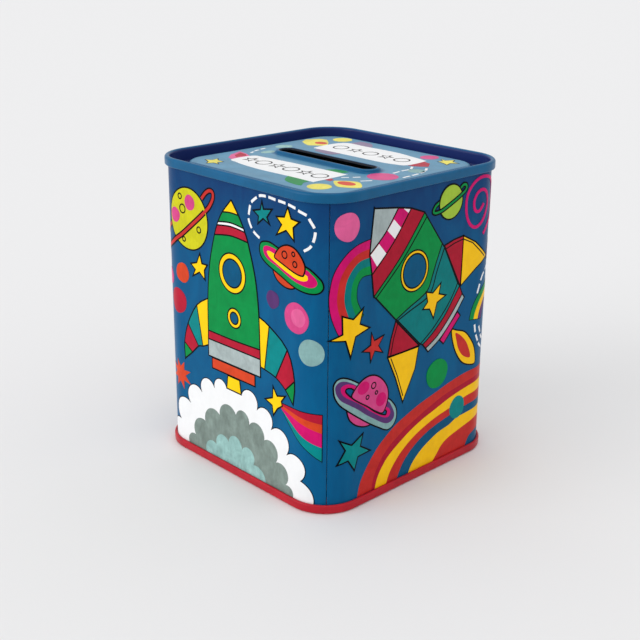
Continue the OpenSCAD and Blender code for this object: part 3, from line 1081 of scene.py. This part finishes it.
HILL_EDGES = (
    ("red", [(10.9, 2.4), (11.9, 6.4), (13.7, 9.6), (16.2, 12.8), (19.4, 16), (23, 18.5),
             (26.6, 20.5), (30.9, 22.1), (36.6, 23.9), (43.7, 25.5), (50.9, 27.1), (58, 28.1),
             (65.1, 28.3)]),
    ("maroon", [(16.9, 2.4), (17.5, 6), (19.1, 9.2), (21.6, 12.4), (24.8, 14.9), (29.4, 17.3),
                (34.8, 19.4), (40.1, 21.2), (47.3, 23.3), (54.4, 24.4), (61.6, 25.3), (65.1, 25.6)]),
    ("gold", [(18.2, 2.4), (19.1, 5.6), (20.9, 8.5), (23.7, 11.4), (28, 14), (33, 16.5),
              (38.4, 18.5), (43.7, 19.9), (50.9, 21.8), (58, 23), (65.1, 23.7)]),
    ("red", [(23, 2.4), (24.4, 5.6), (26.9, 8.7), (30.1, 11.4), (34.4, 13.9), (39.4, 15.8),
             (44.8, 17.25), (50.9, 18.3), (58, 19.9), (65.1, 20.4)]),
    ("window", [(27.6, 2.4), (29.1, 5.3), (31.2, 8), (34.4, 10.5), (38.7, 12.8), (43.7, 14.4),
                (50.9, 15.8), (58, 16.8), (65.1, 17.25)]),
    ("gold", [(32.6, 2.4), (34.4, 5.3), (37.6, 8), (41.2, 9.9), (45.9, 11.7), (50.9, 12.6),
              (54.4, 13.9), (58, 14.2), (65.1, 14.6)]),
    ("red", [(43.7, 2.4), (45.9, 4.75), (48, 6.9), (50.9, 8.3), (55.5, 9.4), (59.8, 10.3),
             (65.1, 11.2)]),
    ("window", [(59.3, 2.4), (60.9, 5.3), (63.4, 6.4), (66.9, 6.7)]),
)


def striped_hill():
    """Levels of the great striped hill that rounds the far corner."""
    films = []
    for ink, edge in HILL_EDGES:
        far = [(2 * FAR_CORNER_U - u, z) for u, z in reversed(edge)]
        (start, foot), (end, _) = edge[0], far[-1]
        crown = smooth(edge + far)
        films.append((ink, crown + [(end, foot - 1), (start, foot - 1)]))
    return stacked(*(plain(shape) for shape in films))


def arc(u, z, radius, start, end, steps=16):
    """Points along an arc, between two angles in degrees."""
    return [
        (u + radius * math.cos(a), z + radius * math.sin(a))
        for a in (math.radians(start + (end - start) * k / steps) for k in range(steps + 1))
    ]


def far_rainbow():
    """Levels of the small rainbow on the far corner, with its dashes."""
    edges = [arc(70.5, 43.5, radius, 172, 8) for radius in (12.3, 10.3, 8.2, 6)]
    marks = plain(("white", *dashes(
        [(61.4, 53), (62.1, 54.8), (63.5, 57.7), (65.3, 59.2), (68.6, 60.6), (72.6, 60.4)]
    ), *dashes(
        [(61, 43), (61.7, 40.1), (63.2, 37.2), (64.6, 35.4), (68, 33.6), (73, 33.4)]
    ), *dashes(
        [(63.5, 41.9), (64.6, 39.7), (66, 37.6), (69.5, 36.2), (74, 36.8)]
    )))
    return beside(striped(edges, ["green", "gold", "purple"]), marks)


class TIN_OT_right_rainbows(bpy.types.Operator):
    """Prints the rainbows and the striped hill of the right side"""
    bl_idname = "tin.right_rainbows"
    bl_label = "Right rainbows"

    def execute(self, context):
        printed("curved_rainbow", curved_rainbow())
        printed("striped_hill", striped_hill())
        printed("far_rainbow", far_rainbow())
        return {"FINISHED"}


def pink_planet():
    """Levels of the pink planet with its three-coloured ring."""
    return ringed(
        "pink",
        [(6.7, 32), (7, 28.7), (8.75, 26.5), (10.9, 25.1), (13.4, 24.2), (15.9, 24.2), (17, 26),
         (12, 30)],
        [[(2.3, 38.1), (2.5, 39.6), (3.4, 40.8), (4.8, 41.2), (6.6, 40.7), (8.75, 39.5),
          (10.9, 38.1), (16.8, 34.2), (22.8, 30.1), (24.7, 28.4), (26.25, 26.2), (26.7, 24),
          (26.25, 22), (25, 20.6), (23.3, 20.1), (21.6, 20.6), (18.75, 22.3), (15.6, 24.3),
          (12.5, 26.5), (9.4, 28.8), (6.6, 31), (4.1, 33.2), (2.7, 35.6)],
         [(2.8, 38.1), (3.1, 39.3), (4.1, 40.1), (5.6, 40.1), (7.5, 39.3), (9.7, 37.9),
          (16.2, 33.6), (22.7, 29.3), (24.4, 27.1), (25.5, 24.9), (25.5, 23.4), (24.4, 22.4),
          (22.5, 22.3), (20, 23.5), (16.9, 25.6), (13.75, 27.75), (10.6, 30.25), (7.5, 32.4),
          (4.7, 34.3), (3.3, 36.2)],
         [(4.4, 37.75), (4.8, 38.7), (6.25, 39.1), (8.1, 38.5), (9.4, 37.75), (15.8, 32.8),
          (22.2, 27.6), (23.3, 26.8), (23.9, 25.6), (23.6, 24.6), (22.5, 24.2), (20.6, 24.9),
          (18.1, 26.5), (15, 28.7), (11.9, 31.2), (8.75, 33.4), (5.9, 35.25), (4.8, 36.5)]],
        ["aqua", "purple", "magenta"],
        [(5.9, 37), (6.25, 37.75), (7.5, 37.6), (8.6, 36.9), (15, 32), (21.6, 26.8),
         (22.25, 25.9), (21.9, 25.25), (20, 26), (17.2, 27.75), (14.1, 30.25), (10.9, 32.6),
         (8.1, 34.6), (6.7, 35.9)],
        rounded((8, 35.4), (9.4, 37.1), (11.25, 38.4), (13.4, 39.2), (15.9, 39.2), (18.4, 38.2),
                (20.6, 36.3), (22.2, 34), (22.8, 31.8), (22.7, 29.9), (21.9, 27.75),
                (20.5, 26.2), (17.5, 27.75), (14.1, 30.25), (10.9, 32.4), (8.4, 34.3)),
        [("magenta", disc(12.5, 36.3, 2.35, 0.81)), ("magenta", disc(19.8, 30.7, 2.1)),
         *craters((16.6, 35.9, 0.9), (14.2, 33, 0.6), (17.8, 33.4, 0.5))],
    )


def lime_planet():
    """Levels of the small lime planet with a thin green ring."""
    return hooped(
        "lime", disc(46.8, 83.8, 5.1), "green",
        [(50.9, 87.2), (52, 87.95), (53.2, 87.8), (53.5, 87), (53.1, 86.3), (52, 85.6),
         (49.5, 84.4), (46.4, 83.15), (43.3, 82), (41.2, 81.6), (39.7, 81.7), (39.3, 82.4),
         (40.2, 83.6), (41.8, 84.4)],
        1.1, (4, 10)
    )


class TIN_OT_right_planets(bpy.types.Operator):
    """Prints the two ringed planets of the right side"""
    bl_idname = "tin.right_planets"
    bl_label = "Right planets"

    def execute(self, context):
        printed("pink_planet", pink_planet(), first=2)
        printed("lime_planet", lime_planet(), first=8)
        return {"FINISHED"}


def right_sparks():
    """Levels of the loose stars, dots and the spiral of the right side."""
    spiral = smooth([
        (61.9, 80.9), (61.25, 80), (60, 78.9), (58.4, 79.1), (57.5, 80.6), (57.5, 82.5),
        (58.75, 84.4), (60.6, 85.2), (62.5, 84.7), (63.75, 83.1), (64.2, 80.6), (63.1, 77.5),
        (61.25, 75.2), (58.75, 74.2), (56.25, 75.3), (54.4, 78.1), (53.75, 81.9), (54.4, 85),
        (56.6, 87.5), (59.7, 88.9), (62.8, 88.9), (66, 87.6), (68.4, 84.5), (69, 80.5),
        (67.8, 76.8), (65.3, 74.2), (62.6, 71.5),
    ])
    dots = plain(
        ("rose", disc(5.8, 83.6, 3.8, 1.03, wobble=0.02)),
        ("green", disc(44.1, 31.7, 4.8, 0.96, wobble=0.02)),
        ("magenta", stroke(spiral, 0.95)),
    )
    stars = beside(
        outlined("gold", [
            (0.94, 52.3), (4.7, 53.9), (4.5, 59.1), (8, 57.7), (11.7, 60), (10.5, 55.8),
            (14.4, 53.8), (8.9, 52.5), (7.25, 46.7), (5.6, 51.9),
        ]),
        outlined("red", [
            (15.2, 51.9), (16.4, 49.4), (20.25, 50.1), (18.1, 47.5), (19.9, 45),
            (16.6, 46.3), (15.1, 43.4), (14.7, 46.4), (11.7, 47.3), (15, 48.4),
        ], line=0.32),
        outlined("teal", [
            (4.2, 22.3), (8.3, 20.1), (12.7, 22.3), (11.7, 18.7), (15.8, 16), (10.8, 15.7),
            (9.5, 11.8), (7, 15.6), (3.6, 14.8), (6.1, 19),
        ]),
    )
    return beside(dots, stars)


class TIN_OT_right_sparks(bpy.types.Operator):
    """Prints the stars, dots and spiral of the right side"""
    bl_idname = "tin.right_sparks"
    bl_label = "Right stars and dots"

    def execute(self, context):
        printed("right_sparks", right_sparks(), first=9)
        printed("hill_dot", plain(("teal", disc(54.4, 17.5, 3.5, 1.07, wobble=0.02))), first=9)
        return {"FINISHED"}


BACK_INKS = {"crimson": "orange", "yellow": "gold", "green": "sea", "orange": "crimson",
             "teal": "magenta", "lemon": "aqua", "red": "purple", "white": "mist"}
LEFT_INKS = {"maroon": "purple", "green": "teal", "sea": "crimson", "gold": "yellow",
             "magenta": "orange", "red": "magenta", "lime": "orange", "pink": "lemon",
             "aqua": "green", "purple": "crimson", "teal": "yellow"}


def loose_dots(*dots):
    """One level of loose dots, given as (ink, u, z, radius)."""
    return plain(*((ink, disc(u, z, radius, wobble=0.03)) for ink, u, z, radius in dots))


class TIN_OT_back_print(bpy.types.Operator):
    """Prints the back: another upright rocket, with planets, stars and dots"""
    bl_idname = "tin.back_print"
    bl_label = "Back print"

    def execute(self, context):
        around = 2 * FAR_CORNER_U
        swap = BACK_INKS
        printed("back_rocket", shifted(upright_rocket(), around + 6, swap), first=12)
        printed("back_clouds", shifted(cloud_bank(), around + 6, {"foam": "aqua"}), first=9)
        printed("back_planet", shifted(striped_planet(), around + 4, swap))
        printed("back_ball", shifted(lemon_planet(), around + 1, swap))
        printed("back_sparks", beside(
            loose_dots(("aqua", 131.5, 60.5, 3.6), ("pink", 137.5, 50.5, 4.2), ("gold", 84.5, 60, 2.8),
                       ("rose", 79, 52.5, 3.2), ("purple", 125.5, 55.5, 2.2)),
            outlined("gold", star(139.5, 84, 4.6, 80)),
            outlined("magenta", star(143.5, 38, 4.2, 100)),
        ))
        return {"FINISHED"}


class TIN_OT_left_print(bpy.types.Operator):
    """Prints the left side: another leaning rocket, with planets, a rainbow, stars and dots"""
    bl_idname = "tin.left_print"
    bl_label = "Left print"

    def execute(self, context):
        around = 2 * FAR_CORNER_U
        swap = LEFT_INKS
        printed("left_rocket", shifted(leaning_rocket(), around + 3, swap), first=3)
        printed("left_rainbow", shifted(curved_rainbow(), around + 4.5, swap))
        printed("left_planet", shifted(pink_planet(), around + 7, swap), first=2)
        printed("left_ball", shifted(lime_planet(), around - 1, swap), first=8)
        printed("left_sparks", beside(
            loose_dots(("green", 157, 17, 4.0), ("rose", 176, 14.5, 4.6), ("aqua", 190.5, 20, 3.6),
                       ("orange", 201, 13, 2.6), ("teal", 154.5, 84.5, 3.4), ("pink", 199, 26.5, 2.4)),
            outlined("yellow", star(165.5, 9.5, 4.4, 75)),
            outlined("gold", star(184, 9.5, 3.6, 100)),
            outlined("lemon", star(203, 80.5, 4.2, 84)),
        ))
        return {"FINISHED"}


def top_marks():
    """Levels of the small shapes on the top, under the labels."""
    leaf = rounded(
        (-15.9, 27.6), (-15.5, 29.5), (-11.3, 29.25), (-8.8, 27.6), (-7, 25.1), (-5.8, 17),
        (-6.3, 9.25), (-8.8, 7.2), (-14.7, 8), (-15.9, 10.3), (-16.8, 19),
    )
    almond = rounded(
        (19.9, -16.6), (24.1, -13.5), (27, -14.3), (30.2, -17.8), (27, -20.8), (24.5, -21.2),
        (20.3, -18.3),
    )
    under = plain(
        ("mauve", leaf),
        ("straw", disc(-22, 27.2, 3.2)),
        ("straw", disc(21.8, -25.1, 3.4)),
        ("straw", [
            (-30.3, 18.4), (-28.2, 22.8), (-25.1, 23.2), (-21.3, 20.1), (-18, 16.3),
            (-20.5, 14.25), (-22.6, 12.2), (-25.5, 13.4), (-28.4, 15.1),
        ]),
        ("pink", disc(15.75, 27.1, 2.8, 1.08)),
        ("pink", disc(24.7, -3.25, 4.5)),
        ("crimson", [(18.5, 21.3), (22, 20.1), (24.5, 16.5), (21.2, 13.8), (18.5, 13.4)]),
        ("aqua", disc(26, 9.5, 2.5)),
        ("crimson", [(16, -15.3), (18.7, -16.6), (18.9, -18.25), (16, -18.3)]),
        ("green", rounded((6.6, -21.5), (9.1, -26.2), (12.8, -27.8), (17.4, -28), (15.75, -25.3),
                          (14.1, -21.5))),
        ("green", [(6.8, -10.3), (9.1, -6.4), (11.6, -5.9), (14.3, -6.2), (13.9, -10.3)]),
        ("rose", [(-29.25, -10.5), (-25.5, -11.2), (-20.5, -13.25), (-20.5, -20.1),
                  (-24.25, -19.1), (-27.2, -15.75)]),
        ("foam", disc(-26.1, 5.1, 2.6, 1.1)),
        ("foam", disc(-22.9, -4.4, 1.7, 1.5)),
        ("straw", almond),
        ("white", *dashes([(21.3, 13), (23.2, 10), (23.2, 6.3), (23.7, 2.2)])),
        ("white", *dashes([(25.6, 14.5), (27.9, 11), (29, 6.3), (29.4, 0.1)])),
        ("white", *dashes([(21.0, -8.4), (19.5, -10.75), (17.8, -12.8)])),
        ("white", *dashes([(26.2, -9.1), (24.5, -12)])),
        ("white", *dashes([(-28, -1.2), (-27, -5.75), (-25.1, -9.5)])),
    )
    over = plain(
        ("orange", disc(-22.6, 18, 2.2, 0.85)),
        ("orange", disc(24.1, -17, 3, 0.66)),
        ("crimson", [(-27.6, -11.6), (-24.4, -12), (-22.6, -13.6), (-23.2, -17), (-25.8, -15.4)]),
    )
    stars = [
        [(19.7, 27.8), (22, 27.1), (23.5, 29.7), (24.9, 27.2), (27.4, 27), (25.6, 25.2),
         (26.4, 22.6), (24, 23.8), (21.4, 24.25), (22, 25.9)],
        [(-25.1, -22.4), (-23.2, -23.9), (-20.3, -24.1), (-20.9, -25.9), (-18.8, -27.2),
         (-21.2, -27.3), (-22, -29.3), (-23.6, -27.3), (-26.5, -26.2), (-24.6, -25)],
    ]
    return beside(stacked(under, over), *(outlined("straw", points, line=0.3) for points in stars))


class TIN_OT_top_print(bpy.types.Operator):
    """Prints the blank labels, dots and stars on the top"""
    bl_idname = "tin.top_print"
    bl_label = "Top print"

    def execute(self, context):
        upper = rounded(
            (-18, 23.6), (-8.8, 24.5), (3.7, 24.9), (12, 23.6), (17.8, 22.4), (18.9, 21.3),
            (19.1, 13.4), (15.75, 11.5), (9.9, 10.7), (-0.5, 10.7), (-10.9, 10.7),
            (-16.75, 10.5), (-18.6, 12),
        )
        lower = rounded(
            (-21.5, -12), (-17.2, -10.75), (-6.75, -9.9), (3.7, -9.5), (15.5, -9.1),
            (16.4, -10.5), (16.8, -21.4), (16, -22.6), (7.8, -22.6), (-4.7, -23), (-13, -22.4),
            (-18, -21.4), (-21.5, -20.1),
        )
        printed("top_marks", top_marks(), on_top)
        marks = [(upper_row, 17.6) for upper_row in (-13, -6.5, 0, 6.5, 13)]
        marks += [(lower_row, -16) for lower_row in (-17.5, -11.5, -5.5, 0.5, 6.5, 12.5)]
        drawn = [
            ("black", [grown(disc(x, y, 2.4), MARK_LINE / 2), grown(disc(x, y, 2.4), -MARK_LINE / 2)])
            for x, y in marks[::2]
        ]
        drawn += [("black", [star(x, y, 2.9), star(x, y, 1.7)]) for x, y in marks[1::2]]
        printed("top_labels", plain(("white", upper), ("white", lower)) + [drawn], on_top, first=3)
        return {"FINISHED"}


class TIN_OT_stage(bpy.types.Operator):
    """Makes the pale floor, the soft lights and the camera"""
    bl_idname = "tin.stage"
    bl_label = "Stage"

    def execute(self, context):
        stage = context.scene.tin_stage
        bpy.ops.object.select_all(action="DESELECT")
        bpy.ops.mesh.primitive_plane_add(size=FLOOR_SIZE, location=(0, 0, 0))
        floor = context.object
        floor.name = "floor"
        nodes = Nodes("floor")
        nodes.shader.inputs["Base Color"].default_value = four(stage.floor)
        nodes.shader.inputs["Roughness"].default_value = 0.9
        nodes.shader.inputs["Specular IOR Level"].default_value = 0
        floor.data.materials.append(nodes.material)

        world = bpy.data.worlds.new("studio")
        world.use_nodes = True
        background = world.node_tree.nodes["Background"]
        background.inputs["Color"].default_value = (1, 1, 1, 1)
        background.inputs["Strength"].default_value = stage.sky
        context.scene.world = world

        middle = Vector((0, 0, TIN_HEIGHT * MM / 2))
        for name, strength, angle, source in (
            ("key", stage.key, KEY_ANGLE, KEY_FROM), ("top", stage.top, TOP_ANGLE, (0, 0, 1))
        ):
            bpy.ops.object.light_add(type="SUN")
            sun = context.object
            sun.name = name
            sun.data.energy = strength
            sun.data.angle = math.radians(angle)
            sun.rotation_euler = Vector(source).to_track_quat("Z", "Y").to_euler()

        back = Vector((
            math.sin(stage.azimuth) * math.cos(stage.elevation),
            -math.cos(stage.azimuth) * math.cos(stage.elevation),
            math.sin(stage.elevation),
        ))
        bpy.ops.object.camera_add(location=middle + back * stage.distance)
        camera = context.object
        turn = (-back).to_track_quat("-Z", "Y").to_matrix() @ Matrix.Rotation(stage.roll, 3, "Z")
        camera.rotation_euler = turn.to_euler()
        camera.data.lens = stage.lens
        camera.data.sensor_width = 36
        camera.data.shift_x = CAMERA_SHIFT[0]
        camera.data.shift_y = CAMERA_SHIFT[1]
        camera.data.clip_start = 0.01
        camera.data.clip_end = 2 * FLOOR_SIZE
        context.scene.camera = camera
        context.scene.view_settings.view_transform = "Standard"
        return {"FINISHED"}


OPERATORS = (
    TIN_OT_stage,
    TIN_OT_finish,
    TIN_OT_front_clouds,
    TIN_OT_front_rocket,
    TIN_OT_front_planets,
    TIN_OT_front_sparks,
    TIN_OT_right_rainbows,
    TIN_OT_right_rocket,
    TIN_OT_right_planets,
    TIN_OT_right_sparks,
    TIN_OT_back_print,
    TIN_OT_left_print,
    TIN_OT_top_print,
)
GROUPS = (("tin_inks", TinInks), ("tin_finish", TinFinish), ("tin_stage", TinStage))


class TIN_PT_panel(bpy.types.Panel):
    """The tin's settings and pieces"""
    bl_idname = "TIN_PT_panel"
    bl_label = "Tin money box"
    bl_space_type = "VIEW_3D"
    bl_region_type = "UI"
    bl_category = "Tin"

    def draw(self, context):
        for name, group in GROUPS:
            box = self.layout.box()
            settings = getattr(context.scene, name)
            for key in group.__annotations__:
                box.prop(settings, key)
        for operator in OPERATORS:
            self.layout.operator(operator.bl_idname)


def register():
    """Registers the settings, the operators and the panel."""
    for name, group in GROUPS:
        bpy.utils.register_class(group)
        setattr(bpy.types.Scene, name, PointerProperty(type=group))
    for operator in OPERATORS:
        bpy.utils.register_class(operator)
    bpy.utils.register_class(TIN_PT_panel)


def unregister():
    """Takes them all away again."""
    bpy.utils.unregister_class(TIN_PT_panel)
    for operator in reversed(OPERATORS):
        bpy.utils.unregister_class(operator)
    for name, group in reversed(GROUPS):
        delattr(bpy.types.Scene, name)
        bpy.utils.unregister_class(group)


def main():
    """Makes every piece in order."""
    register()
    for operator in OPERATORS:
        space, name = operator.bl_idname.split(".")
        getattr(getattr(bpy.ops, space), name)()


if __name__ == "__main__":
    main()
